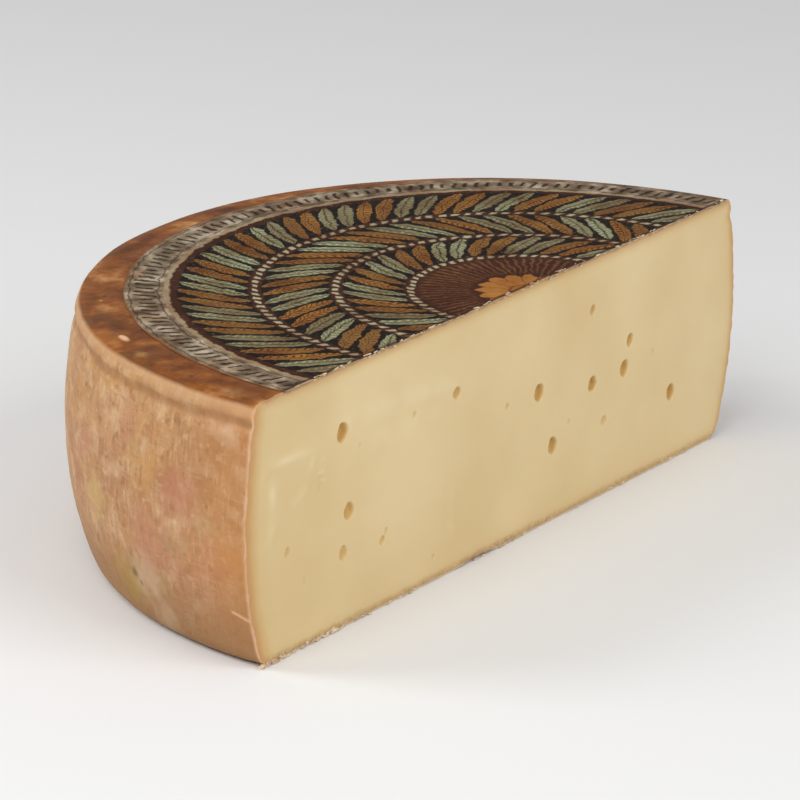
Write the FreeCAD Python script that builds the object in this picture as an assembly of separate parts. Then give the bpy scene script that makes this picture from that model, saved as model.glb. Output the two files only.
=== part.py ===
"""Half wheel of washed-rind semi-hard cheese, with the paper label on its top.

The wheel's axis is vertical and the half is cut straight through it, so the half lies behind
an upright cut face.  Units are millimetres and +Z is up.  +X runs along the cut face and -Y is
the way the cut face looks.  The origin is the middle of the half wheel's box, on the surface
that it stands on.
"""
import FreeCAD, Part

import math
import os

# ---- driving dimensions -------------------------------------------------------------------

wheel_radius = 150.0        # at the widest place of the bulging side
wheel_height = 90.0         # from the base to the flat top
bulge_height = 47.0         # height of the widest place above the base
foot_pull_in = 9.5          # how far the side has drawn in where it would meet the base
foot_round = 8.0            # radius that rolls the side under into the base
neck_pull_in = 3.4          # how far the side has drawn in at the shallow groove under the lip
lip_height = 6.5            # from that groove to the flat top
lip_pull_in = 5.6           # how far the flat top's edge lies inside the widest place
lip_bulge = 0.75            # how far the rounded lip stands out past the straight line across it

label_thickness = 0.3
label_bare_left = 14.5      # bare rind left of the label, at the top's edge
label_bare_right = 2.2      # bare rind right of it: the label was laid off centre
label_off_cut = 3.0         # the label's centre lies this far in front of the cut

eye_set_back = 0.25         # how far an eye's middle lies behind the cut, in half widths

# The eyes that show in the cut face: place along the face from its left end to its right end
# and from the base to the top, both as parts of the whole, then the width and height in mm.
eyes = [
    (0.176, 0.751, 5.4, 6.6),
    (0.076, 0.396, 3.2, 4.2),
    (0.190, 0.440, 5.4, 6.0),
    (0.180, 0.288, 4.8, 6.0),
    (0.252, 0.267, 3.0, 3.4),
    (0.395, 0.703, 4.6, 4.2),
    (0.566, 0.550, 5.6, 6.4),
    (0.597, 0.310, 5.2, 6.2),
    (0.680, 0.483, 5.0, 5.4),
    (0.676, 0.786, 3.0, 3.5),
    (0.750, 0.486, 5.4, 6.2),
    (0.761, 0.592, 4.0, 5.0),
    (0.857, 0.294, 5.2, 6.0),
]

# ---- places worked out from them ----------------------------------------------------------

cut_y = -wheel_radius / 2.0
top_radius = wheel_radius - lip_pull_in
axis_at_base = FreeCAD.Vector(0, cut_y, 0)
upward = FreeCAD.Vector(0, 0, 1)
into_cheese = FreeCAD.Vector(0, 1, 0)


def section_point(radius, height):
    """A point of the half section, on the cut plane to the right of the wheel's axis."""
    return FreeCAD.Vector(radius, cut_y, height)


def side_radius(pull_in, rise):
    """Radius of an arc that starts upright and draws in by pull_in over the height rise."""
    return (pull_in ** 2 + rise ** 2) / (2.0 * pull_in)


def side_at(arc_radius, rise):
    """Wheel radius of such an arc, at the height rise away from the widest place."""
    return wheel_radius - arc_radius + math.sqrt(arc_radius ** 2 - rise ** 2)


def wheel_section():
    """Closed half section of the wheel: axis, base, rolled foot, bulging side, lip and top."""
    low_radius = side_radius(foot_pull_in, bulge_height)
    low_centre = wheel_radius - low_radius
    foot_drop = bulge_height - foot_round
    foot_centre = low_centre + math.sqrt((low_radius - foot_round) ** 2 - foot_drop ** 2)
    reach = low_radius / (low_radius - foot_round)
    foot_end = section_point(low_centre + (foot_centre - low_centre) * reach,
                             bulge_height - foot_drop * reach)
    half_turn = math.atan2(foot_end.z - foot_round, foot_end.x - foot_centre) / 2.0 - math.pi / 4.0
    foot_middle = section_point(foot_centre + foot_round * math.cos(half_turn),
                                foot_round + foot_round * math.sin(half_turn))
    foot_start = section_point(foot_centre, 0)
    low_rise = (bulge_height - foot_end.z) / 2.0
    low_middle = section_point(side_at(low_radius, low_rise), bulge_height - low_rise)
    widest = section_point(wheel_radius, bulge_height)

    neck_rise = wheel_height - lip_height - bulge_height
    high_radius = side_radius(neck_pull_in, neck_rise)
    high_middle = section_point(side_at(high_radius, neck_rise / 2.0),
                                bulge_height + neck_rise / 2.0)
    neck = section_point(wheel_radius - neck_pull_in, wheel_height - lip_height)
    top_edge = section_point(top_radius, wheel_height)
    across = (top_edge - neck).normalize()
    outward = FreeCAD.Vector(across.z, 0, -across.x)
    lip_middle = (neck + top_edge) * 0.5 + outward * lip_bulge

    centre_base = section_point(0, 0)
    centre_top = section_point(0, wheel_height)
    edges = [
        Part.LineSegment(centre_base, foot_start).toShape(),
        Part.Arc(foot_start, foot_middle, foot_end).toShape(),
        Part.Arc(foot_end, low_middle, widest).toShape(),
        Part.Arc(widest, high_middle, neck).toShape(),
        Part.Arc(neck, lip_middle, top_edge).toShape(),
        Part.LineSegment(top_edge, centre_top).toShape(),
        Part.LineSegment(centre_top, centre_base).toShape(),
    ]
    return Part.Face(Part.Wire(edges))


def eye_pit(along, up, width, height):
    """Upright egg-shaped hollow, cut open a little in front of its middle.

    Its mouth in the cut face measures width by height, so the egg itself is slightly larger.
    """
    swell = 1.0 / math.sqrt(1.0 - eye_set_back ** 2)
    half_width = swell * width / 2.0
    half_height = swell * height / 2.0
    ball = Part.makeSphere(1.0, FreeCAD.Vector(0, 0, 0), into_cheese)
    stretch = FreeCAD.Matrix()
    stretch.scale(half_width, half_width, half_height)
    egg = ball.transformGeometry(stretch)
    egg.translate(FreeCAD.Vector((2.0 * along - 1.0) * wheel_radius,
                                 cut_y + eye_set_back * half_width,
                                 up * wheel_height))
    return egg


def make_cheese():
    """The half wheel itself, one solid, with its eyes cut open."""
    cheese = wheel_section().revolve(axis_at_base, upward, 180).removeSplitter()
    for along, up, width, height in eyes:
        cheese = cheese.cut(eye_pit(along, up, width, height))
    return cheese


def make_label():
    """Round paper label, cut with the wheel and lying on its flat top."""
    radius = top_radius - (label_bare_left + label_bare_right) / 2.0
    centre_x = (label_bare_left - label_bare_right) / 2.0
    centre = FreeCAD.Vector(centre_x, cut_y - label_off_cut, wheel_height)
    disc = Part.makeCylinder(radius, label_thickness, centre, upward)
    kept = Part.makeBox(2.0 * wheel_radius, wheel_radius, label_thickness,
                        FreeCAD.Vector(-wheel_radius, cut_y, wheel_height))
    return disc.common(kept)


os.makedirs("parts", exist_ok=True)
for node, shape in (("cheese", make_cheese()), ("label", make_label())):
    solid = shape.Solids[0]
    solid.exportStep("parts/" + node + ".step")
    box = solid.BoundBox
    print(node, "valid", solid.isValid(), "solids", len(shape.Solids), "faces", len(solid.Faces),
          "volume_cm3", round(solid.Volume / 1000.0, 2),
          "box", [round(v, 3) for v in (box.XMin, box.YMin, box.ZMin, box.XMax, box.YMax, box.ZMax)])
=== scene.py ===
import math
import random

import bpy
from mathutils import Matrix, Vector, noise


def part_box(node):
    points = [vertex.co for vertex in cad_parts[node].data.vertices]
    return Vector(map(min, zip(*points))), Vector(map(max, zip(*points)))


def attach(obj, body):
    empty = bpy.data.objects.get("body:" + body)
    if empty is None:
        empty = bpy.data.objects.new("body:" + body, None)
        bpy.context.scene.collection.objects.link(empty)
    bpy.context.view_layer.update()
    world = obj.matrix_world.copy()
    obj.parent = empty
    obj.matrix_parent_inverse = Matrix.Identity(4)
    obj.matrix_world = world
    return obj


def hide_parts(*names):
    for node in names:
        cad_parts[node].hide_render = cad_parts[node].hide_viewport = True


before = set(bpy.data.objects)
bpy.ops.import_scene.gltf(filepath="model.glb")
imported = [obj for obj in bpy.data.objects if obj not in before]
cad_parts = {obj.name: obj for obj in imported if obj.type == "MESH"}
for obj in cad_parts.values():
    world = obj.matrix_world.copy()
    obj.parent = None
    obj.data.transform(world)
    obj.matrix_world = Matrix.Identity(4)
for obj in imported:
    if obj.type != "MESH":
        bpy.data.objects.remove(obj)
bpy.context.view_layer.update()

# ---- Half wheel ---------------------------------------------------------------------------
# Half of a wheel of pressed and brined curd: a bulging side from the round mould, a washed
# rind all over, and one upright face where a long knife went straight through the middle.
# It is drawn as the cut face first, whose left edge is then spun round the wheel's axis.

cheese_low, cheese_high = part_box("cheese")
wheel_radius = (cheese_high[0] - cheese_low[0]) / 2
wheel_height = cheese_high[2] - cheese_low[2]
cut_y = cheese_low[1]
bulge_height = 0.047        # where the side is widest
foot_pull_in = 0.0095       # how far the side draws in at the base, the neck and the top edge
neck_pull_in = 0.0034
lip_pull_in = 0.0056
foot_round = 0.008
lip_height = 0.0065
lip_bulge = 0.00075

foot_rows = 7               # rows of faces up each stretch of the side
low_rows = 32
high_rows = 27
lip_rows = 7
face_columns = 232
spin_steps = 208


def arc_point(start, middle, end, share):
    """Point at a share of the way along the arc through three (radius, height) points."""
    (ax, ay), (bx, by), (cx, cy) = start, middle, end
    a_square, b_square, c_square = (x ** 2 + y ** 2 for x, y in (start, middle, end))
    divisor = 2 * (ax * (by - cy) + bx * (cy - ay) + cx * (ay - by))
    centre_x = (a_square * (by - cy) + b_square * (cy - ay) + c_square * (ay - by)) / divisor
    centre_y = (a_square * (cx - bx) + b_square * (ax - cx) + c_square * (bx - ax)) / divisor
    first = math.atan2(ay - centre_y, ax - centre_x)
    last = math.atan2(cy - centre_y, cx - centre_x)
    turn = (last - first + math.pi) % (2 * math.pi) - math.pi
    reach = math.hypot(ax - centre_x, ay - centre_y)
    angle = first + turn * share
    return centre_x + reach * math.cos(angle), centre_y + reach * math.sin(angle)


def side_section():
    """(radius, height) points up the wheel's side: rolled foot, bulging side, rounded lip."""
    low_radius = (foot_pull_in ** 2 + bulge_height ** 2) / (2 * foot_pull_in)
    low_centre = wheel_radius - low_radius
    foot_drop = bulge_height - foot_round
    foot_centre = low_centre + math.sqrt((low_radius - foot_round) ** 2 - foot_drop ** 2)
    reach = low_radius / (low_radius - foot_round)
    foot_end = (low_centre + (foot_centre - low_centre) * reach, bulge_height - foot_drop * reach)
    foot_angle = math.atan2(foot_end[1] - foot_round, foot_end[0] - foot_centre) / 2 - math.pi / 4
    foot_middle = (foot_centre + foot_round * math.cos(foot_angle),
                   foot_round + foot_round * math.sin(foot_angle))
    low_rise = (bulge_height - foot_end[1]) / 2
    low_middle = (low_centre + math.sqrt(low_radius ** 2 - low_rise ** 2), bulge_height - low_rise)
    widest = (wheel_radius, bulge_height)
    neck_rise = wheel_height - lip_height - bulge_height
    high_radius = (neck_pull_in ** 2 + neck_rise ** 2) / (2 * neck_pull_in)
    high_centre = wheel_radius - high_radius
    high_middle = (high_centre + math.sqrt(high_radius ** 2 - neck_rise ** 2 / 4),
                   bulge_height + neck_rise / 2)
    neck = (wheel_radius - neck_pull_in, wheel_height - lip_height)
    top_edge = (wheel_radius - lip_pull_in, wheel_height)
    across = Vector((top_edge[0] - neck[0], top_edge[1] - neck[1]))
    outward = Vector((across.y, -across.x)).normalized() * lip_bulge
    lip_middle = ((neck[0] + top_edge[0]) / 2 + outward.x, (neck[1] + top_edge[1]) / 2 + outward.y)
    points = []
    for rows, start, middle, end in ((foot_rows, (foot_centre, 0.0), foot_middle, foot_end),
                                     (low_rows, foot_end, low_middle, widest),
                                     (high_rows, widest, high_middle, neck),
                                     (lip_rows, neck, lip_middle, top_edge)):
        points += [arc_point(start, middle, end, row / rows) for row in range(rows)]
    return points + [top_edge]


def pick(piece, kind, wanted):
    """In edit mode, selects only the edges or faces that wanted() accepts."""
    bpy.ops.mesh.select_mode(type=kind)
    bpy.ops.mesh.select_all(action="DESELECT")
    bpy.ops.object.mode_set(mode="OBJECT")
    mesh = piece.data
    if kind == "EDGE":
        for edge in mesh.edges:
            edge.select = wanted(*(mesh.vertices[corner].co for corner in edge.vertices))
    else:
        for face in mesh.polygons:
            face.select = wanted(face)
    bpy.ops.object.mode_set(mode="EDIT")


section = side_section()
rows = len(section) - 1


def radius_at(height):
    """The wheel's radius at a height, along the straight pieces between the section's points."""
    for (low_r, low_h), (high_r, high_h) in zip(section, section[1:]):
        if height <= high_h:
            share = max(0.0, (height - low_h) / (high_h - low_h))
            return low_r + (high_r - low_r) * share
    return section[-1][0]


bpy.ops.mesh.primitive_grid_add(x_subdivisions=face_columns, y_subdivisions=rows, size=2,
                                rotation=(math.pi / 2, 0, 0))
half_wheel = bpy.context.object
half_wheel.name = "half_wheel"
bpy.ops.object.transform_apply(location=True, rotation=True, scale=True)
for vertex in half_wheel.data.vertices:
    row_radius, row_height = section[round((vertex.co.z + 1) / 2 * rows)]
    vertex.co = (vertex.co.x * row_radius, cut_y, row_height)

near = 1e-5                 # closer than this counts as the same place
top_columns = 14.5          # columns of the cut face outside the flat cap on the top
base_columns = 2.5          # and outside the one on the base
top_border = section[-1][0] * (1 - 2 * top_columns / face_columns)
base_border = section[0][0] * (1 - 2 * base_columns / face_columns)


def on_spun_edge(point):
    """Whether a point of the cut face is on the part of its left outline that is spun."""
    if point.x > 0:
        return False
    at_top = abs(point.z - wheel_height) < near and point.x < -top_border
    at_base = abs(point.z) < near and point.x < -base_border
    return at_top or at_base or point.x < near - radius_at(point.z)


bpy.ops.object.mode_set(mode="EDIT")
pick(half_wheel, "EDGE", lambda a, b: on_spun_edge(a) and on_spun_edge(b))
bpy.ops.mesh.spin(steps=spin_steps, angle=math.pi, center=(0, cut_y, 0), axis=(0, 0, 1))
bpy.ops.mesh.select_all(action="SELECT")
bpy.ops.mesh.remove_doubles(threshold=1e-4)
for level, border in ((wheel_height, top_border), (0.0, base_border)):
    reach = border + section[-1][0] / face_columns * 2
    pick(half_wheel, "EDGE", lambda a, b: abs(a.z - level) < near and abs(b.z - level) < near
         and max(math.hypot(a.x, a.y - cut_y), math.hypot(b.x, b.y - cut_y)) < reach)
    bpy.ops.mesh.edge_face_add()
bpy.ops.mesh.select_all(action="SELECT")
bpy.ops.mesh.normals_make_consistent(inside=False)
bpy.ops.object.mode_set(mode="OBJECT")

# The eyes are gas holes that the knife opened: place along the face and up it, as parts of
# the whole, then the mouth's width and height, and how deep the pit goes against its width.
eyes = [
    (0.176, 0.751, 0.0056, 0.0064, 0.55),
    (0.076, 0.396, 0.0028, 0.0038, 0.26),
    (0.190, 0.440, 0.0056, 0.0058, 0.34),
    (0.180, 0.290, 0.0044, 0.0052, 0.28),
    (0.254, 0.264, 0.0032, 0.0034, 0.26),
    (0.395, 0.703, 0.0046, 0.0042, 0.34),
    (0.566, 0.550, 0.0056, 0.0064, 0.50),
    (0.597, 0.310, 0.0052, 0.0062, 0.50),
    (0.680, 0.483, 0.0050, 0.0054, 0.55),
    (0.676, 0.786, 0.0030, 0.0035, 0.50),
    (0.750, 0.486, 0.0054, 0.0062, 0.50),
    (0.761, 0.592, 0.0040, 0.0050, 0.50),
    (0.857, 0.294, 0.0052, 0.0060, 0.55),
    (0.261, 0.295, 0.0024, 0.0026, 0.22),
    (0.312, 0.694, 0.0024, 0.0028, 0.25),
    (0.499, 0.556, 0.0024, 0.0026, 0.25),
    (0.630, 0.377, 0.0016, 0.0018, 0.30),
    (0.707, 0.311, 0.0040, 0.0034, 0.20),
    (0.135, 0.601, 0.0020, 0.0056, 0.14),
    (0.208, 0.673, 0.0018, 0.0022, 0.20),
    (0.354, 0.101, 0.0018, 0.0020, 0.22),
    (0.813, 0.499, 0.0018, 0.0030, 0.20),
    (0.108, 0.263, 0.0016, 0.0022, 0.20),
]
# Soft ridges that the knife left where it twisted: points (x, height), how high, half width.
knife_ridges = [
    ([(-0.1405, 0.0640), (-0.1384, 0.0657), (-0.1318, 0.0669), (-0.1235, 0.0671),
      (-0.1126, 0.0656)], 0.00036, 0.0017),
    ([(-0.1126, 0.0656), (-0.1150, 0.0590)], 0.00022, 0.0016),
    ([(-0.1166, 0.0553), (-0.1233, 0.0510)], 0.00022, 0.0018),
    ([(-0.1359, 0.0588), (-0.1349, 0.0503), (-0.1381, 0.0409)], 0.00028, 0.0020),
    ([(-0.1085, 0.0618), (-0.1072, 0.0616)], 0.00018, 0.0008),
    ([(-0.1098, 0.0573), (-0.1078, 0.0571)], 0.00018, 0.0008),
    ([(-0.1090, 0.0545), (-0.1070, 0.0543)], 0.00018, 0.0008),
    ([(-0.0948, 0.0700), (-0.0756, 0.0706), (-0.0561, 0.0690), (-0.0324, 0.0664)], 0.00020, 0.0032),
    ([(-0.0859, 0.0602), (-0.0540, 0.0588), (-0.0359, 0.0614)], 0.00016, 0.0038),
    ([(-0.0322, 0.0355), (-0.0347, 0.0252), (-0.0340, 0.0160)], 0.00010, 0.0026),
]
# A peeled lip of rind at the left bottom corner: points (distance round from the cut, height).
peeled_lip = [(0.0086, 0.0197), (0.0010, 0.0173), (0.0007, 0.0096), (0.0003, 0.0020)]
blister = Vector((-0.1163, cut_y + 0.0742, wheel_height))      # a pale blister on the top border
eye_cell = 0.0016           # how far round an eye the face is divided finely
edge_wear = 0.0004          # how far the edge of the cut is worn back
edge_band = 0.0014          # and how wide that worn edge is
cut_set_back = 0.0008       # how far the cut lies behind the true plane, so that ridges have room
set_back_fade = 0.006       # how far into the rind that goes on
ridge_growth = 1.8
shaded_eye = 0.0016         # how deep an eye has its full shade
full_highlight_rise = 0.0004       # how high a ridge is fully pale, its painted highlight full
peel_width = 0.0005         # torn line along the peeled lip, and how far it stands out
peel_rise = 0.0003
blister_rise = 0.0006
outline_band = 0.0025       # how far round the edge of the cut the rind is divided finely
border_band = 0.003         # and the paste
most_corners = 40           # more than any face has but the two flat caps


def eye_place(along, up):
    """Point of the cut face at shares of the way along it and up it."""
    return Vector(((2 * along - 1) * wheel_radius, cut_y, up * wheel_height))


def refine(piece, cuts, wanted):
    """Divides the faces that wanted() accepts into smaller ones."""
    bpy.ops.object.mode_set(mode="EDIT")
    pick(piece, "FACE", wanted)
    bpy.ops.mesh.subdivide(number_cuts=cuts)
    bpy.ops.object.mode_set(mode="OBJECT")


def on_cut(point):
    """Whether a point lies on the flat cut."""
    return abs(point.y - cut_y) < near


def depth_in_rind(point, top=1.0, base=1.25, left=1.35, right=1.35):
    """How far a point of the cut face lies inside the nearest rind, weighted for each side."""
    side = (radius_at(point.z) - abs(point.x)) * (left if point.x < 0 else right)
    return max(0.0, min((wheel_height - point.z) * top, point.z * base, side))


for along, up, width, height, depth in eyes:
    middle = eye_place(along, up)
    refine(half_wheel, 3, lambda face: on_cut(face.center)
           and math.hypot((face.center.x - middle.x) / (width / 2 + eye_cell),
                          (face.center.z - middle.z) / (height / 2 + eye_cell)) < 1)
refine(half_wheel, 1, lambda face: face.center.y - cut_y < outline_band
       and (not on_cut(face.center) or depth_in_rind(face.center) < border_band) and len(face.vertices) < 6)
# where the knife left its ridges, round the peeled lip and round the blister
refine(half_wheel, 1, lambda face: on_cut(face.center) and face.center.x < -0.106
       and 0.038 < face.center.z < 0.070 and depth_in_rind(face.center) >= border_band)
refine(half_wheel, 3, lambda face: not on_cut(face.center) and face.center.x < 0
       and face.center.z < 0.024 and outline_band < face.center.y - cut_y < 0.012
       and face.normal.x < -0.3)
refine(half_wheel, 3, lambda face: (face.center - blister).length < 0.0065)

bpy.ops.object.mode_set(mode="EDIT")
# faces beside finer ones gained corners, so each is divided from its own middle
pick(half_wheel, "FACE", lambda face: 4 < len(face.vertices) < most_corners)
bpy.ops.mesh.poke()
pick(half_wheel, "FACE", lambda face: on_cut(face.center))
bpy.ops.mesh.region_to_loop()
bpy.ops.mesh.mark_sharp()
bpy.ops.object.mode_set(mode="OBJECT")


def ripple(point, size, seed):
    """Smooth noise from -1 to 1 whose lumps are about size metres across."""
    return noise.noise(Vector((point.x / size + seed, point.y / size - seed, point.z / size)))


def rippled(point, layers):
    """Sum of layers of that noise, each given as height, size across and seed."""
    return sum(height * ripple(point, size, seed) for height, size, seed in layers)


def step(low, high, value):
    """0 below low, 1 above high and a smooth rise between them."""
    share = min(1.0, max(0.0, (value - low) / (high - low)))
    return share * share * (3 - 2 * share)


def bump_at(value, middle, width):
    """1 where value is at the middle, falling off smoothly over the width."""
    return math.exp(-((value - middle) / width) ** 2)


def eye_pit(point):
    """Depth of the eyes' hollows at a point of the cut face."""
    deepest = 0.0
    rim = 1.12              # the hollow starts a little outside the mouth, with a soft rim
    for along, up, width, height, depth in eyes:
        middle = eye_place(along, up)
        if abs(point.x - middle.x) > width or abs(point.z - middle.z) > height:
            continue
        wobble = 1 + 0.16 * ripple(point, 0.0028, along * 50)
        out = math.hypot((point.x - middle.x) / (width / 2),
                         (point.z - middle.z) / (height / 2)) / wobble
        if out < rim:
            bowl = math.sqrt(max(0.0, 1 - (out / rim) ** 2))
            deepest = max(deepest, depth * width * bowl * step(rim, 0.80, out))
    return deepest


def near_run(here, points):
    """Distance from a flat point to the nearest stretch of a run of points."""
    nearest = 1.0
    for start, end in zip(points, points[1:]):
        start, end = Vector(start), Vector(end)
        share = (here - start).dot(end - start) / (end - start).length_squared
        on_run = start + (end - start) * min(1.0, max(0.0, share))
        nearest = min(nearest, (here - on_run).length)
    return nearest


def knife_ridge(point):
    """Height of the knife's ridges at a point of the cut face."""
    here = Vector((point.x, point.z))
    heights = [height * bump_at(near_run(here, points), 0.0, width)
               for points, height, width in knife_ridges]
    return max(heights) * (0.75 + 0.25 * ripple(point, 0.004, 14.0))


def set_back(point, depth):
    """How far the knife's uneven face lies behind the true plane, worn away at its very edge."""
    wave = rippled(point, ((0.00022, 0.045, 3.0), (0.00009, 0.012, 8.0)))
    wear = edge_wear * (1 - step(0, edge_band, depth)) * (1 + 0.9 * ripple(point, 0.003, 1.0))
    return cut_set_back + wave + wear


def base_dent(point):
    """Rise of the bottom edge, dented where it stood on something and crumbling a little."""
    dent = 0.0012 * bump_at(point.x, -0.0170, 0.0095)
    dent += 0.0005 * max(0.0, ripple(point, 0.006, 17.0))
    return dent * (1 - step(0, 0.006, point.z)) * (1 - step(0.001, 0.012, point.y - cut_y))


def lip_crease(point):
    """Depth of the shallow crease that runs under the lip, fading in and out."""
    height = wheel_height - 0.0070 + 0.0012 * ripple(point, 0.030, 33.0)
    fading = 0.35 + 0.65 * step(-0.5, 0.4, ripple(point, 0.05, 12.0))
    return 0.0011 * bump_at(point.z, height, 0.0021) * fading


def top_sag(point):
    """How far the wheel's flat top lies below its full height, in gentle hollows."""
    return 0.0003 * (1 + ripple(Vector((point.x, point.y, 0)), 0.050, 7.0)) / 2


def top_drop(point, round_out):
    """The top's sag, its roll down to the rim, the dip inside the rim and the label's seat."""
    out = round_out * wheel_radius
    roll = 0.0007 * step(0.965, 0.995, round_out)
    dip = 0.00055 * bump_at(out, 0.1430, 0.0030) * (0.7 + 0.3 * ripple(point, 0.02, 6.0))
    seat = 0.0006 * (1 - step(top_border, top_border + 0.003, out)) * step(0, 0.004, point.y - cut_y)
    return top_sag(point) + roll + dip + seat


def blister_out(point):
    """How far out a point is from the blister's middle, 1 being about its rim."""
    away = Vector((point.x - blister.x, point.y - blister.y))
    along_rim = Vector((cut_y - blister.y, blister.x)).normalized()
    across_rim = Vector((along_rim.y, -along_rim.x))
    return math.hypot(away.dot(along_rim) / 0.0040, away.dot(across_rim) / 0.0017)


mesh = half_wheel.data
surface_marks = ("rind_depth", "eye_shade", "peeled", "ridge_highlight")
for name in surface_marks:
    mesh.attributes.new(name, "FLOAT", "POINT")
# found only when all are made, because making one moves the others in memory
rind_depth, eye_shade, peeled, ridge_highlight = (mesh.attributes[name] for name in surface_marks)
for face in mesh.polygons:
    face.material_index = 1 if on_cut(face.center) else 0
for index, vertex in enumerate(mesh.vertices):
    place = vertex.co.copy()
    from_cut = place.y - cut_y
    round_out = math.hypot(place.x, from_cut) / radius_at(place.z)
    around = Vector((math.hypot(place.x + wheel_radius, from_cut), place.z))
    peel = bump_at(near_run(around, peeled_lip), 0.0, peel_width) * (place.x < 0)
    # the whole rind is a little uneven, and never stands out past the true outline
    lumps = rippled(place, ((0.0005, 0.060, 5.0), (0.00025, 0.016, 9.0), (0.00010, 0.006, 19.0))) - 0.0005
    outward = (min(0.0, lumps) - lip_crease(place)) * round_out ** 6
    if on_cut(place):
        pit = eye_pit(place)
        ridge = knife_ridge(place)
        rind_depth.data[index].value = depth_in_rind(place, top=3.6, base=3.2, left=1.5, right=2.6)
        # the eyes' depth sets their painted shade, and the ridges' height sets their painted highlight
        eye_shade.data[index].value = min(1.0, pit / shaded_eye)
        patchy = step(-0.5, 0.5, ripple(place, 0.009, 41.0))
        ridge_highlight.data[index].value = min(1.0, ridge / full_highlight_rise) * patchy
        vertex.co.y += pit + max(0.0, set_back(place, depth_in_rind(place)) - ridge_growth * ridge)
    else:
        outward += peel_rise * peel
        on_plane = Vector((place.x, cut_y, place.z))
        vertex.co.y += outward * from_cut / wheel_radius
        vertex.co.y += set_back(on_plane, 0.0) * (1 - step(0, set_back_fade, from_cut))
    vertex.co.x += outward * place.x / wheel_radius
    top = step(0.8, 1.0, place.z / wheel_height)
    off_blister = blister_out(place)
    raised = blister_rise * (1 - step(0.2, 1.2, off_blister)) * top
    peeled.data[index].value = max(peel, (1 - step(0.5, 1.1, off_blister)) * top)
    vertex.co.z += base_dent(place) - top * top_drop(place, round_out) + raised
bpy.ops.object.shade_smooth()


def srgb(code):
    """Linear colour from an sRGB hex code."""
    parts = [int(code[i:i + 2], 16) / 255 for i in (1, 3, 5)]
    return tuple(p / 12.92 if p < 0.04045 else ((p + 0.055) / 1.055) ** 2.4 for p in parts) + (1.0,)


def add_node(tree, kind, inputs=(), stops=(), out=0, **settings):
    """Adds a shader node with its settings, its inputs as values or links by name or in order,
    and its ramp stops.  Gives the output that the next node reads."""
    made = tree.nodes.new("ShaderNode" + kind)
    for name, value in settings.items():
        setattr(made, name, value)
    for name, value in inputs.items() if isinstance(inputs, dict) else enumerate(inputs):
        if isinstance(value, bpy.types.NodeSocket):
            tree.links.new(value, made.inputs[name])
        else:
            made.inputs[name].default_value = value
    for number, (position, colour) in enumerate(stops):
        if number > 1:      # a new ramp has two stops
            made.color_ramp.elements.new(position)
        made.color_ramp.elements[number].position = position
        made.color_ramp.elements[number].color = srgb(colour)
    return made.outputs[out]


def tint(tree, under, colour, value, start, full, strength=1.0, rise="SMOOTHSTEP"):
    """Lays a colour over another, from none where the value is start to strength where it is full."""
    over = srgb(colour) if isinstance(colour, str) else colour
    amount = add_node(tree, "MapRange", {"Value": value, "From Min": start, "From Max": full,
                                         "To Max": strength}, interpolation_type=rise)
    return add_node(tree, "Mix", {"Factor": amount, 6: under, 7: over}, out=2, data_type="RGBA")


def new_material(name, values):
    """A new material, its node tree and its surface shader, with the shader's values set."""
    made = bpy.data.materials.new(name)
    made.use_nodes = True
    shader = made.node_tree.nodes["Principled BSDF"]
    for socket, value in values.items():
        shader.inputs[socket].default_value = value
    return made, made.node_tree, shader


# Cut paste: milk fat and protein, smooth from the wire with a faint oily sheen and a little
# light going through it.  It darkens to ochre where it nears the rind.
paste, tree, shader = new_material("semi_hard_cheese_paste", {
    "Roughness": 0.48, "IOR": 1.45, "Subsurface Weight": 0.30, "Subsurface Scale": 0.003,
    "Subsurface Radius": (1.0, 0.62, 0.28)})
here = add_node(tree, "TexCoord", out="Object")
height = add_node(tree, "SeparateXYZ", (here,), out="Z")
in_from_rind, eye_painted_shade, painted_ridge_highlight = (
    add_node(tree, "Attribute", attribute_name=name, out="Fac")
    for name in ("rind_depth", "eye_shade", "ridge_highlight"))
broad, frayed, crumb = (
    add_node(tree, "TexNoise", {"Vector": here, "Scale": 1 / size, "Detail": detail})
    for size, detail in ((0.045, 3.0), (0.006, 4.0), (0.0011, 4.0)))
fray = add_node(tree, "Math", (frayed, 0.0035, -0.00175), operation="MULTIPLY_ADD")
wandering = add_node(tree, "Math", (in_from_rind, fray), operation="ADD")
share = add_node(tree, "Math", (wandering, 0.020), operation="DIVIDE")
# its palest colour, right at the cut's outline, is a painted catch-light along the edge
from_rind = add_node(tree, "ValToRGB", (share,), stops=[
    (0.0, "#dcb592"), (0.05, "#c79763"), (0.16, "#cba167"), (0.30, "#d4b27a"),
    (0.55, "#dcc390"), (1.0, "#dfc898")])
cloud = add_node(tree, "ValToRGB", (broad,), stops=[(0.3, "#f4efe6"), (0.7, "#ffffff")])
body = add_node(tree, "Mix", {"Factor": 1.0, 6: from_rind, 7: cloud}, out=2, data_type="RGBA",
                blend_type="MULTIPLY")
# the crust on the table side: mottled brown and grey, crumbling pale along its very edge
ragged = add_node(tree, "Math", (frayed, 0.0030, height), operation="MULTIPLY_ADD")
crust = add_node(tree, "ValToRGB", (crumb,), stops=[
    (0.34, "#93754f"), (0.52, "#b39467"), (0.66, "#cdb184")])
body = tint(tree, body, crust, ragged, 0.0056, 0.0022, 0.75)
crumbly = add_node(tree, "Math", (crumb, 0.0024, height), operation="MULTIPLY_ADD")
body = tint(tree, body, "#e6d6bd", crumbly, 0.0024, 0.0015, 0.85, rise="LINEAR")
# under the label the rind is thin and dark, and its fat has stained the paste below it
under_top = add_node(tree, "Math", (fray, height), operation="ADD")
for colour, depth, strength in (("#c8a67a", 0.0046, 0.50), ("#9c7a54", 0.0015, 0.55)):
    body = tint(tree, body, colour, under_top, wheel_height - depth, wheel_height - 0.2 * depth, strength)
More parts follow.
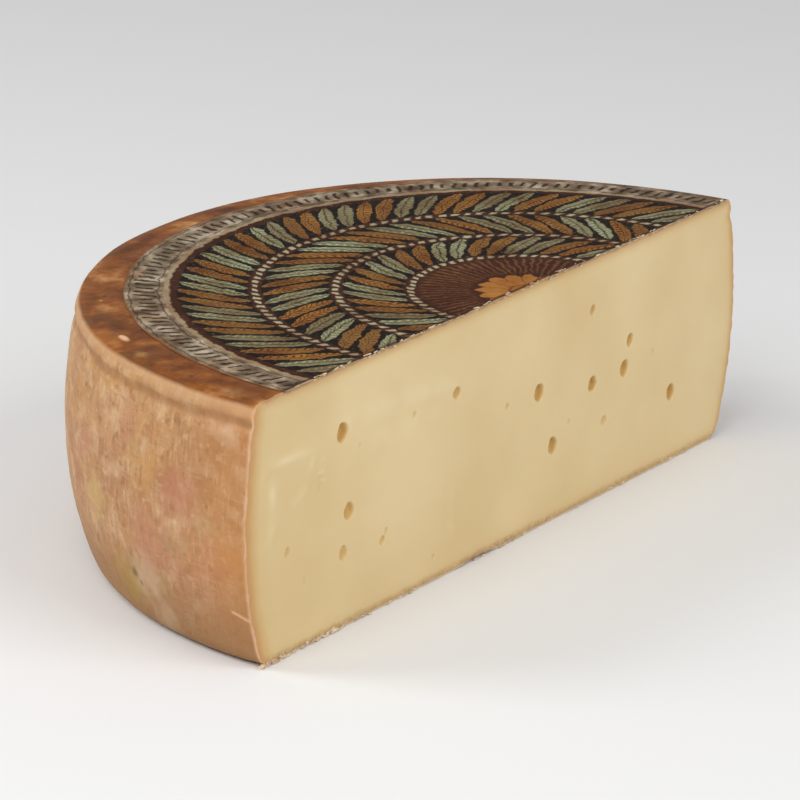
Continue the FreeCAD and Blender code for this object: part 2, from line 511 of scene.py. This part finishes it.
# painted highlight on the knife's pressed ridges, and painted shade in the eyes' hollows, fuller as they
# deepen
body = tint(tree, body, "#ebdab2", painted_ridge_highlight, 0.0, 1.0, 0.8, rise="LINEAR")
body = tint(tree, body, "#cba356", eye_painted_shade, 0.0, 1.0, rise="LINEAR")
tree.links.new(body, shader.inputs["Base Color"])
wire = add_node(tree, "Mapping", {"Vector": here, "Rotation": (0, math.radians(-14), 0),
                                  "Scale": (0.12, 1.0, 1.0)})
drag = add_node(tree, "TexNoise", {"Vector": wire, "Scale": 1 / 0.0045, "Detail": 4.0})
smooth_bump = add_node(tree, "Bump", {"Height": drag, "Strength": 0.16, "Distance": 0.0004})
tree.links.new(smooth_bump, shader.inputs["Normal"])

# Washed rind: the skin of salt, smear bacteria and herb brine that the wheel is rubbed with.
# Tan to peach on the side with fine streaks from the cloth, darker and moist on top.
rind, tree, shader = new_material("washed_cheese_rind", {
    "IOR": 1.45, "Specular IOR Level": 0.09, "Subsurface Weight": 0.12, "Subsurface Scale": 0.002,
    "Subsurface Radius": (1.0, 0.5, 0.25)})
here = add_node(tree, "TexCoord", out="Object")
back, height = (add_node(tree, "SeparateXYZ", (here,), out=axis) for axis in "YZ")
upright = add_node(tree, "Mapping", {"Vector": here, "Scale": (1.0, 1.0, 0.24)})
leaning = add_node(tree, "Mapping", {"Vector": here, "Rotation": (math.radians(35), math.radians(-25), 0),
                                     "Scale": (1.0, 1.0, 0.2)})
lying = add_node(tree, "Mapping", {"Vector": here, "Scale": (0.22, 0.22, 1.0)})
tone, mottle, crack_run, leather = (
    add_node(tree, "TexNoise", {"Vector": here, "Scale": 1 / size, "Detail": detail})
    for size, detail in ((0.040, 5.0), (0.0045, 5.0), (0.011, 4.0), (0.0055, 6.0)))
moist = add_node(tree, "TexNoise", {"Vector": here, "Scale": 1 / 0.016, "Detail": 6.0, "Roughness": 0.62})
skin = add_node(tree, "ValToRGB", (tone,), stops=[(0.32, "#b08159"), (0.50, "#ba8e64"), (0.68, "#c59c72")])
# colour, stretched or not, size of the patches, seed, where they start and are full, strength
rind_patches = [
    ("#b47a62", here, 0.026, 1.0, 0.48, 0.66, 0.60),
    ("#bf8f54", here, 0.034, 2.0, 0.50, 0.68, 0.55),
    ("#a06f4a", here, 0.0090, 7.0, 0.45, 0.64, 0.50),
    ("#d4b18b", here, 0.0100, 11.0, 0.47, 0.68, 0.55),
    ("#8c5e3a", here, 0.0036, 13.0, 0.54, 0.70, 0.46),
    ("#dcbb96", here, 0.0026, 14.0, 0.56, 0.70, 0.36),
    ("#d4b18b", upright, 0.0019, 3.0, 0.51, 0.72, 0.30),
    ("#996b44", upright, 0.0015, 4.0, 0.51, 0.72, 0.36),
    ("#d2af89", lying, 0.0013, 15.0, 0.51, 0.72, 0.24),
    ("#966944", lying, 0.0015, 16.0, 0.53, 0.72, 0.28),
    ("#d0ae88", leaning, 0.0015, 8.0, 0.52, 0.72, 0.24),
    ("#ab9067", here, 0.012, 5.0, 0.54, 0.72, 0.40),
    ("#7a5235", here, 0.0022, 6.0, 0.64, 0.74, 0.50),
    ("#dcbd98", here, 0.0012, 9.0, 0.66, 0.76, 0.40),
]
for colour, where, size, seed, start, full, strength in rind_patches:
    patch = add_node(tree, "TexNoise", {"Vector": where, "Scale": 1 / size, "W": seed, "Detail": 4.0},
                     noise_dimensions="4D")
    skin = tint(tree, skin, colour, patch, start, full, strength)
# fat shows orange beside the knife's edge, where the skin is torn pale under a painted catch-light,
# and the side darkens towards the foot: colour, along what, where it starts and is full, strength
side_bands = [
    ("#c2854d", back, cut_y + 0.034, cut_y + 0.002, 0.50),
    ("#9a734d", height, 0.036, 0.002, 0.75),
    ("#dab594", back, cut_y + 0.0025, cut_y + 0.0013, 0.52),
]
for colour, along, start, full, strength in side_bands:
    amount = add_node(tree, "MapRange", {"Value": along, "From Min": start, "From Max": full,
                                         "To Max": strength}, interpolation_type="SMOOTHSTEP")
    uneven = add_node(tree, "Math", (amount, tone), operation="MULTIPLY")
    skin = tint(tree, skin, colour, uneven, 0.0, 0.5, rise="LINEAR")
# hair cracks where the skin dried: thin lines that wander and fade in and out
off_crack = add_node(tree, "Math", (crack_run, 0.52), operation="SUBTRACT")
crack_reach = add_node(tree, "Math", (off_crack,), operation="ABSOLUTE")
crack = add_node(tree, "MapRange", {"Value": crack_reach, "From Min": 0.010, "From Max": 0.002})
patchy = add_node(tree, "MapRange", {"Value": tone, "From Min": 0.46, "From Max": 0.62, "To Max": 0.55})
cracked = add_node(tree, "Math", (crack, patchy), operation="MULTIPLY")
skin = tint(tree, skin, "#8a5c3b", cracked, 0.0, 1.0, rise="LINEAR")
# single stains: turn from the left end in degrees, height, radius, colour, strength
stains = [
    (24.0, 0.014, 0.015, "#a58748", 0.75),
    (19.0, 0.020, 0.014, "#c4aa8b", 0.60),
    (16.6, 0.007, 0.010, "#bfa383", 0.50),
    (22.1, 0.0192, 0.0026, "#66502f", 0.85),
    (20.8, 0.0165, 0.0016, "#7d6140", 0.60),
    (11.2, 0.053, 0.0020, "#96583f", 0.60),
    (6.6, 0.0536, 0.0014, "#8f593a", 0.70),
    (0.6, 0.0617, 0.0012, "#8f593a", 0.60),
    (31.5, 0.039, 0.012, "#c4a46a", 0.55),
    (12.0, 0.055, 0.014, "#b3735b", 0.50),
    (17.7, 0.034, 0.016, "#b77b64", 0.50),
    (2.5, 0.038, 0.012, "#c28650", 0.50),
    (4.0, 0.0786, 0.006, "#d2b08e", 0.55),
]
# the same for the top border: place from the wheel's middle, radius, colour, strength
top_stains = [
    (-0.1021, 0.0939, 0.011, "#5f3a1e", 0.65),
    (-0.1233, 0.0587, 0.010, "#6b4223", 0.60),
    (-0.1262, 0.0595, 0.004, "#b5894a", 0.60),
    (-0.1337, 0.0335, 0.0016, "#3f2717", 0.80),
    (-0.0839, 0.1072, 0.0014, "#463018", 0.80),
    (-0.0879, 0.1056, 0.0012, "#c8b055", 0.80),
    (-0.1350, 0.0120, 0.011, "#6f4321", 0.60),
    (-0.1180, 0.0800, 0.012, "#a9682f", 0.50),
]


def stained(skin, spot, reach, colour, strength):
    """Skin with one soft stain whose rim wanders like the rind's own mottling."""
    away = add_node(tree, "VectorMath", (here, spot), out="Value", operation="DISTANCE")
    wandering = add_node(tree, "Math", (mottle, 1.4 * reach, away), operation="MULTIPLY_ADD")
    return tint(tree, skin, colour, wandering, 1.7 * reach, 0.8 * reach, strength)


for turn, up, reach, colour, strength in stains:
    angle = math.pi - math.radians(turn)
    out = radius_at(up)
    spot = (out * math.cos(angle), cut_y + out * math.sin(angle), up)
    skin = stained(skin, spot, reach, colour, strength)
top_skin = add_node(tree, "ValToRGB", (moist,), stops=[
    (0.30, "#44240c"), (0.42, "#6a3812"), (0.54, "#8c511e"), (0.63, "#ab7440"), (0.72, "#c69a6c")])
for along, out, reach, colour, strength in top_stains:
    top_skin = stained(top_skin, (along, cut_y + out, wheel_height), reach, colour, strength)
# painted highlight along the lip, painted shade in the crease below it, and the top's colour stops raggedly
skin = tint(tree, skin, "#c79e75", height, wheel_height - 0.006, wheel_height - 0.002, 0.60)
wandering = add_node(tree, "Math", (tone, 0.010, height), operation="MULTIPLY_ADD")
from_crease = add_node(tree, "Math", (wandering, wheel_height - 0.0023), operation="SUBTRACT")
crease_reach = add_node(tree, "Math", (from_crease,), operation="ABSOLUTE")
in_crease = add_node(tree, "MapRange", {"Value": crease_reach, "From Min": 0.0026, "From Max": 0.0004,
                                        "To Max": 1.3}, interpolation_type="SMOOTHSTEP")
crease_painted_shade = add_node(tree, "Math", (in_crease, mottle), operation="MULTIPLY")
skin = tint(tree, skin, "#9c6f48", crease_painted_shade, 0.0, 1.0, rise="LINEAR")
worn = add_node(tree, "Math", (moist, 0.0022, height), operation="MULTIPLY_ADD")
top_start = wheel_height - 0.0012
top_full = wheel_height + 0.0004
skin = tint(tree, skin, top_skin, worn, top_start, top_full)
thin_skin = add_node(tree, "Attribute", attribute_name="peeled", out="Fac")
skin = tint(tree, skin, "#dfaf86", thin_skin, 0.0, 1.0, rise="LINEAR")
tree.links.new(skin, shader.inputs["Base Color"])
roughness = add_node(tree, "MapRange", {"Value": worn, "From Min": top_start, "From Max": top_full,
                                        "To Min": 0.55, "To Max": 0.40}, interpolation_type="SMOOTHSTEP")
tree.links.new(roughness, shader.inputs["Roughness"])
grain = add_node(tree, "TexNoise", {"Vector": upright, "Scale": 1 / 0.0014, "Detail": 5.0})
relief = add_node(tree, "Math", (leather, 2.0, grain), operation="MULTIPLY_ADD")
skin_bump = add_node(tree, "Bump", {"Height": relief, "Strength": 0.35, "Distance": 0.0004})
tree.links.new(skin_bump, shader.inputs["Normal"])

half_wheel.data.materials.append(rind)
half_wheel.data.materials.append(paste)
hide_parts("cheese")
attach(half_wheel, "root")

# ---- Paper label --------------------------------------------------------------------------
# A round printed sheet pressed onto the moist rind before the wheel was cut, so it is cut with
# it and lies a little off centre.  It is drawn as a disc of rings and cut along the same plane.

label_low, label_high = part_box("label")
label_off_cut = 0.003       # how far the label's middle lies in front of the cut
half_chord = (label_high[0] - label_low[0]) / 2
label_radius = math.hypot(half_chord, label_off_cut)
label_x = (label_low[0] + label_high[0]) / 2
label_y = cut_y - label_off_cut
paper_thickness = 0.00012
paper_sides = 320
paper_rings = 64

bpy.ops.mesh.primitive_circle_add(vertices=paper_sides, radius=label_radius, fill_type="NGON",
                                  location=(label_x, label_y, wheel_height))
paper_label = bpy.context.object
paper_label.name = "paper_label"
bpy.ops.object.transform_apply(location=True, rotation=True, scale=True)
bpy.ops.object.mode_set(mode="EDIT")
for ring in range(paper_rings):
    bpy.ops.mesh.inset(thickness=label_radius / (paper_rings + 1), depth=0)
bpy.ops.mesh.select_all(action="SELECT")
bpy.ops.mesh.bisect(plane_co=(0, cut_y, 0), plane_no=(0, 1, 0), clear_inner=True)
bpy.ops.object.mode_set(mode="OBJECT")
# the sheet lies just clear of the rind, cockled by its moisture, bends down at the rim and is
# torn a little along the cut
for vertex in paper_label.data.vertices:
    place = vertex.co.copy()
    out = math.hypot(place.x, place.y - cut_y) / wheel_radius
    cockle = 0.00009 + rippled(place, ((0.00004, 0.010, 21.0), (0.00003, 0.004, 23.0)))
    vertex.co.z += cockle - top_sag(place) - 0.0008 * step(0.93, 0.985, out)
    if place.y - cut_y < near:
        vertex.co.y += 0.0002 + 0.0003 * ripple(place, 0.0021, 31.0)
bpy.ops.object.modifier_add(type="SOLIDIFY")
paper_label.modifiers["Solidify"].thickness = paper_thickness
paper_label.modifiers["Solidify"].offset = 1.0
bpy.ops.object.modifier_apply(modifier="Solidify")
bpy.ops.object.shade_smooth_by_angle(angle=math.radians(40))

# Uncoated paper printed in ochre, sage and dark brown inks: rings of slanting leaves round a
# small rosette, with a grey rim of even strokes, soaked and stained by the rind below.
print_paper, tree, shader = new_material("printed_label_paper", {
    "Roughness": 0.5, "IOR": 1.45, "Specular IOR Level": 0.06})
here = add_node(tree, "TexCoord", out="Object")
# the print is placed by distance and turn from the label's middle, shaken like a hand-cut block
flat = add_node(tree, "Mapping", {"Vector": here, "Location": (-label_x, -label_y, 0), "Scale": (1, 1, 0)})
shake, fine_shake = (
    add_node(tree, "TexNoise", {"Vector": here, "Scale": 1 / size, "Detail": detail}, out="Color")
    for size, detail in ((0.0045, 3.0), (0.0013, 2.0)))
both = add_node(tree, "Mix", {"Factor": 0.25, 4: shake, 5: fine_shake}, out=1, data_type="VECTOR")
centred = add_node(tree, "VectorMath", (both, (0.5, 0.5, 0.5)), operation="SUBTRACT")
small = add_node(tree, "VectorMath", {0: centred, "Scale": 0.0042}, operation="SCALE")
shaken = add_node(tree, "VectorMath", (flat, small), operation="ADD")
level = add_node(tree, "VectorMath", (shaken, (1, 1, 0)), operation="MULTIPLY")
reach = add_node(tree, "VectorMath", (level,), out="Value", operation="LENGTH")
sideways, backward = (add_node(tree, "SeparateXYZ", (level,), out=axis) for axis in "XY")
angle = add_node(tree, "Math", (backward, sideways), operation="ARCTAN2")
turn = add_node(tree, "Math", (angle, 2 * math.pi), operation="DIVIDE")


def between(value, low, high, blur):
    """1 where value lies between low and high, falling to 0 over the blur."""
    half = (high - low) / 2
    off_middle = add_node(tree, "Math", (value, (low + high) / 2), operation="SUBTRACT")
    away = add_node(tree, "Math", (off_middle,), operation="ABSOLUTE")
    return add_node(tree, "MapRange", {"Value": away, "From Min": half + blur / 2,
                                       "From Max": half - blur / 2})


def overlap(first, *others):
    """Where the first mask and all the others lie, as their product."""
    for other in others:
        first = add_node(tree, "Math", (first, other), operation="MULTIPLY")
    return first


def ink_on(under, colour, mask, strength=1.0):
    """Ink of a colour over what is printed already, where the mask lies."""
    return tint(tree, under, colour, mask, 0.0, 1.0, strength, rise="LINEAR")


ochre = "#a3702f"
rust = "#3f2412"
sage = "#7b8666"
cream = "#bfb796"
ink = "#150c07"
red_brown = "#3f1e0e"
petal_line = "#6a3c1a"


def leaf_ring(under, inner, outer, count, slant, strokes, shift):
    """A ring of slanting leaves in fields of ochre and sage, cut like a woodblock."""
    off_middle = add_node(tree, "Math", (reach, (inner + outer) / 2), operation="SUBTRACT")
    along = add_node(tree, "Math", (off_middle, (outer - inner) / 2), operation="DIVIDE")
    turned = add_node(tree, "Math", (turn, count, shift), operation="MULTIPLY_ADD")
    slid = add_node(tree, "Math", (along, slant, turned), operation="MULTIPLY_ADD")
    number = add_node(tree, "Math", (slid,), operation="FLOOR")
    share = add_node(tree, "Math", (slid,), operation="FRACT")
    across = add_node(tree, "Math", (share, 0.5), operation="SUBTRACT")
    from_rib = add_node(tree, "Math", (across,), operation="ABSOLUTE")
    # the leaf's outline is half an oval on each side of its rib
    squared = add_node(tree, "Math", (along, along), operation="MULTIPLY")
    narrowed = add_node(tree, "Math", (1.0, squared), operation="SUBTRACT", use_clamp=True)
    oval = add_node(tree, "Math", (narrowed,), operation="SQRT")
    past_edge = add_node(tree, "Math", (oval, -0.41, from_rib), operation="MULTIPLY_ADD")
    inside = add_node(tree, "MapRange", {"Value": past_edge, "From Min": 0.01, "From Max": -0.03})
    # two leaves of each four are sage and two are ochre
    fours = add_node(tree, "Math", (number, 4.0), operation="DIVIDE")
    in_four = add_node(tree, "Math", (fours,), operation="FRACT")
    is_ochre = add_node(tree, "Math", (in_four, 0.45), operation="GREATER_THAN")
    is_sage = add_node(tree, "Math", (1.0, is_ochre), operation="SUBTRACT")
    # short strokes slant from the rib
    stroke_row = add_node(tree, "Math", (along, strokes), operation="MULTIPLY")
    slanted = add_node(tree, "Math", (from_rib, 3.0, stroke_row), operation="MULTIPLY_ADD")
    hatch = add_node(tree, "Math", (slanted,), operation="FRACT")
    cut_stroke = overlap(inside, between(hatch, 0.05, 0.45, 0.12), between(from_rib, 0.08, 0.34, 0.05))
    leaves = ink_on(under, ink, between(reach, inner, outer, 0.0006))
    leaves = ink_on(leaves, ochre, overlap(inside, is_ochre))
    leaves = ink_on(leaves, sage, overlap(inside, is_sage))
    leaves = ink_on(leaves, cream, overlap(cut_stroke, is_sage), 0.8)
    leaves = ink_on(leaves, rust, overlap(cut_stroke, is_ochre), 0.9)
    leaves = ink_on(leaves, ink, overlap(inside, between(from_rib, -0.035, 0.035, 0.03)), 0.9)
    # no two leaves take the ink alike
    seed = add_node(tree, "Math", (number, inner * 1000), operation="ADD")
    luck = add_node(tree, "TexWhiteNoise", {"W": seed}, noise_dimensions="1D")
    return ink_on(leaves, "#6b4f2c", overlap(inside, luck), 0.55)


blotch = add_node(tree, "TexNoise", {"Vector": here, "Scale": 1 / 0.007, "Detail": 5.0})
printed = add_node(tree, "ValToRGB", (blotch,), stops=[
    (0.34, "#5e4f3b"), (0.5, "#8b7b65"), (0.64, "#bcae97")])
# grey rim: a row of short brush strokes, no two alike, between two fine lines
stroke_count = 196.0
stroke_lean = 60.0
rim_middle = label_radius - 0.0072
turned = add_node(tree, "Math", (turn, stroke_count), operation="MULTIPLY")
stroke_place = add_node(tree, "Math", (reach, stroke_lean, turned), operation="MULTIPLY_ADD")
stroke_number = add_node(tree, "Math", (stroke_place,), operation="FLOOR")
across_stroke = add_node(tree, "Math", (stroke_place,), operation="FRACT")
luck = add_node(tree, "TexWhiteNoise", {"W": stroke_number}, noise_dimensions="1D")
half_stroke = add_node(tree, "Math", (luck, 0.0022, 0.0018), operation="MULTIPLY_ADD")
off_middle = add_node(tree, "Math", (reach, rim_middle), operation="SUBTRACT")
stroke_reach = add_node(tree, "Math", (off_middle,), operation="ABSOLUTE")
past_end = add_node(tree, "Math", (stroke_reach, half_stroke), operation="SUBTRACT")
in_stroke = add_node(tree, "MapRange", {"Value": past_end, "From Min": 0.0004, "From Max": -0.0004})
printed = ink_on(printed, "#1d140f", overlap(between(across_stroke, 0.15, 0.52, 0.16), in_stroke), 0.92)
for line in (label_radius - 0.0120, label_radius - 0.0022):
    printed = ink_on(printed, "#2c2019", between(reach, line, line + 0.0006, 0.0004), 0.75)
picture_edge = label_radius - 0.015
printed = ink_on(printed, "#a18c6d", between(reach, picture_edge - 0.0003, picture_edge + 0.0016, 0.0006))
printed = ink_on(printed, red_brown, between(reach, 0.0, picture_edge - 0.0002, 0.0006))
# each ring of leaves with a row of beads inside it: how deep, how many leaves, their slant,
# strokes along a leaf, and how far it is shifted in leaves
leaf_rings = [
    (0.0235, 84, 0.9, 6.0, 0.0),
    (0.0225, 62, -0.9, 5.0, 2.0),
    (0.0205, 44, 0.8, 4.5, 1.0),
]
outer = picture_edge - 0.0030
for depth, count, slant, strokes, shift in leaf_rings:
    inner = outer - depth
    printed = leaf_ring(printed, inner, outer, count, slant, strokes, shift)
    turned = add_node(tree, "Math", (turn, count * 1.5), operation="MULTIPLY")
    bead_place = add_node(tree, "Math", (reach, 120.0, turned), operation="MULTIPLY_ADD")
    across_bead = add_node(tree, "Math", (bead_place,), operation="FRACT")
    bead_row = between(reach, inner - 0.0034, inner - 0.0012, 0.0005)
    printed = ink_on(printed, cream, overlap(between(across_bead, 0.2, 0.7, 0.2), bead_row), 0.85)
    outer = inner - 0.0046
# dark field with fine rays, then the rosette with two petals to each wave
ray_place = add_node(tree, "Math", (turn, 72.0), operation="MULTIPLY")
across_ray = add_node(tree, "Math", (ray_place,), operation="FRACT")
ray_field = between(reach, 0.020, outer - 0.001, 0.002)
printed = ink_on(printed, "#7a4d27", overlap(between(across_ray, 0.2, 0.55, 0.2), ray_field), 0.8)
waves = add_node(tree, "Math", (angle, 8.0), operation="MULTIPLY")
sine = add_node(tree, "Math", (waves,), operation="SINE")
petal = add_node(tree, "Math", (sine,), operation="ABSOLUTE")
petal_end = add_node(tree, "Math", (petal, 0.0035, 0.0150), operation="MULTIPLY_ADD")
past_petal = add_node(tree, "Math", (reach, petal_end), operation="SUBTRACT")
printed = tint(tree, printed, "#b27a38", past_petal, 0.0004, -0.0004, rise="LINEAR")
petal_gap = overlap(between(petal, -0.12, 0.12, 0.10), between(reach, 0.0075, 0.0175, 0.0015))
printed = ink_on(printed, petal_line, petal_gap, 0.8)
printed = ink_on(printed, petal_line, between(reach, 0.0063, 0.0071, 0.0006))
# brine soaks the sheet in broad stains, and the ink is rubbed off in specks
stain = add_node(tree, "TexNoise", {"Vector": here, "Scale": 1 / 0.018, "Detail": 6.0, "Roughness": 0.6})
soaked = add_node(tree, "MapRange", {"Value": stain, "From Min": 0.38, "From Max": 0.70, "To Max": 0.90})
printed = add_node(tree, "Mix", {"Factor": soaked, 6: printed, 7: srgb("#b5865a")}, out=2,
                   data_type="RGBA", blend_type="MULTIPLY")
rubbed = add_node(tree, "TexNoise", {"Vector": here, "Scale": 1 / 0.0016, "Detail": 4.0})
printed = tint(tree, printed, "#7d6a50", rubbed, 0.60, 0.72, 0.4, rise="LINEAR")
# the cut edge is torn pale with a dark soaked line behind it, and the round edge is brown
back = add_node(tree, "SeparateXYZ", (here,), out="Y")
from_cut = add_node(tree, "Math", (back, cut_y), operation="SUBTRACT")
torn = add_node(tree, "Math", (stain, 0.0030, from_cut), operation="MULTIPLY_ADD")
printed = ink_on(printed, "#3a2012", between(torn, 0.0022, 0.0036, 0.0010), 0.85)
printed = ink_on(printed, "#bfa88a", between(torn, -0.002, 0.0019, 0.0005), 0.8)
frayed = add_node(tree, "Math", (stain, 0.004, reach), operation="MULTIPLY_ADD")
printed = tint(tree, printed, "#7a5030", frayed, label_radius + 0.0008, label_radius + 0.0022, rise="LINEAR")
tree.links.new(printed, shader.inputs["Base Color"])
cockles = add_node(tree, "TexNoise", {"Vector": here, "Scale": 1 / 0.003, "Detail": 4.0})
paper_bump = add_node(tree, "Bump", {"Height": cockles, "Strength": 0.3, "Distance": 0.0003})
tree.links.new(paper_bump, shader.inputs["Normal"])

paper_label.data.materials.append(print_paper)
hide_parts("label")
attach(paper_label, "root")

# ---- Torn fibres and crumbs -----------------------------------------------------------------
# The knife leaves pale slivers of torn paper and rind along the top edge of the cut, and the dry
# crust on the table side breaks into small crumbs that stay stuck to the bottom edge.

random.seed(11)
fibre_count = 130
crumb_count = 170
plane_gap = 0.00002         # the bits stop just behind the plane of the cut


def scatter(name, count, place_of, size_of):
    """Small torn bits joined into one piece, each a rough lump stretched and turned its own way."""
    bits = []
    for number in range(count):
        length, width, thickness = size_of()
        bpy.ops.mesh.primitive_ico_sphere_add(subdivisions=2, radius=0.5)
        bit = bpy.context.object
        seed = random.uniform(0, 90)
        for vertex in bit.data.vertices:
            vertex.co *= 1 + 0.9 * ripple(vertex.co, 0.45, seed)
            vertex.co = Vector((vertex.co.x * length, vertex.co.y * width, vertex.co.z * thickness))
        bit.rotation_euler = (random.uniform(-0.5, 0.5), random.uniform(-0.35, 0.35),
                              random.uniform(-0.30, 0.30))
        bit.location = place_of()
        bits.append(bit)
    for bit in bits:
        bit.select_set(True)
    bpy.ops.object.transform_apply(location=True, rotation=True, scale=True)
    bpy.ops.object.join()
    joined = bpy.context.object
    joined.name = name
    # whatever would stand out past the cut plane or under the table is pressed flat
    for vertex in joined.data.vertices:
        vertex.co.y = max(vertex.co.y, cut_y + plane_gap)
        vertex.co.z = min(max(vertex.co.z, 0.0), label_high[2])
    bpy.ops.object.shade_smooth_by_angle(angle=math.radians(45))
    return joined


def fibre_place():
    along = random.uniform(-half_chord, half_chord) * 0.99 + label_x
    return Vector((along, cut_y + random.uniform(0.0006, 0.0013),
                   wheel_height - random.uniform(-0.0001, 0.0007)))


def fibre_size():
    return random.uniform(0.0009, 0.0042), random.uniform(0.0004, 0.0009), random.uniform(0.0003, 0.0007)


def crumb_place():
    along = random.choice((random.gauss(-0.108, 0.008), random.uniform(-0.141, -0.126),
                           random.uniform(-0.140, 0.138)))
    return Vector((along, cut_y + random.uniform(0.0007, 0.0014), random.uniform(0.0003, 0.0015)))


def crumb_size():
    size = random.uniform(0.0007, 0.0020)
    return size * 1.3, size * random.uniform(0.3, 0.5), size * random.uniform(0.4, 0.7)


torn_fibres = scatter("torn_fibres", fibre_count, fibre_place, fibre_size)
crust_crumbs = scatter("crust_crumbs", crumb_count, crumb_place, crumb_size)

# Dry shreds of pressed curd and paper pulp: off-white, rough and dull.
shred, tree, shader = new_material("dry_curd_shred", {"Roughness": 0.8, "IOR": 1.45})
here = add_node(tree, "TexCoord", out="Object")
bit_tone = add_node(tree, "TexNoise", {"Vector": here, "Scale": 1 / 0.0025, "Detail": 3.0})
shred_colour = add_node(tree, "ValToRGB", (bit_tone,), stops=[
    (0.32, "#b3926d"), (0.48, "#cfb491"), (0.64, "#e6d3b7")])
tree.links.new(shred_colour, shader.inputs["Base Color"])
for piece, slot in ((torn_fibres, "label"), (crust_crumbs, "cheese")):
    piece.data.materials.append(shred)
    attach(piece, "root")

# ---- Floor, light and camera ---------------------------------------------------------------
# A pale matt floor, three soft boxes and a long lens: the stage, no part of the cheese.

bpy.ops.mesh.primitive_plane_add(size=8, location=(0, 0, 0))
floor = bpy.context.object
floor.name = "floor"
floor_paint, tree, shader = new_material("pale_floor", {
    "Base Color": (0.82, 0.82, 0.82, 1), "Roughness": 0.9})
floor.data.materials.append(floor_paint)

world = bpy.data.worlds.new("studio")
bpy.context.scene.world = world
world.use_nodes = True
sky = world.node_tree.nodes["Background"]
sky.inputs["Color"].default_value = (0.95, 0.95, 0.95, 1)
sky.inputs["Strength"].default_value = 0.45

middle = Vector((0, 0, wheel_height / 2))


def direction(azimuth, elevation):
    """Unit vector towards a place round the wheel, in degrees from the front and up."""
    turn, rise = math.radians(azimuth), math.radians(elevation)
    return Vector((math.sin(turn) * math.cos(rise), -math.cos(turn) * math.cos(rise), math.sin(rise)))


def add_softbox(name, azimuth, elevation, distance, size, power):
    """A square area light that faces the middle of the wheel."""
    bpy.ops.object.light_add(type="AREA", location=middle + direction(azimuth, elevation) * distance)
    lamp = bpy.context.object
    lamp.name = name
    lamp.data.size = size
    lamp.data.energy = power
    lamp.rotation_euler = (middle - lamp.location).to_track_quat("-Z", "Y").to_euler()


add_softbox("key_light", -80, 45, 1.6, 0.9, 8)
add_softbox("fill_light", 0, 35, 1.8, 1.2, 13)
add_softbox("back_light", -140, 35, 1.6, 0.6, 9)

camera_distance = 1.5836
camera_place = middle + direction(-54.94, 18.38) * camera_distance
camera_aim = middle + Vector((0.0143, -0.0205, -0.0075))
camera_roll = math.radians(0.92)
bpy.ops.object.camera_add(location=camera_place)
camera = bpy.context.object
camera.data.sensor_width = 36
camera.data.lens = 206
camera.data.clip_start = 0.05
looking = (camera_aim - camera_place).to_track_quat("-Z", "Y").to_matrix()
camera.rotation_euler = (looking @ Matrix.Rotation(camera_roll, 3, "Z")).to_euler()
bpy.context.scene.camera = camera
bpy.context.scene.view_settings.view_transform = "Standard"
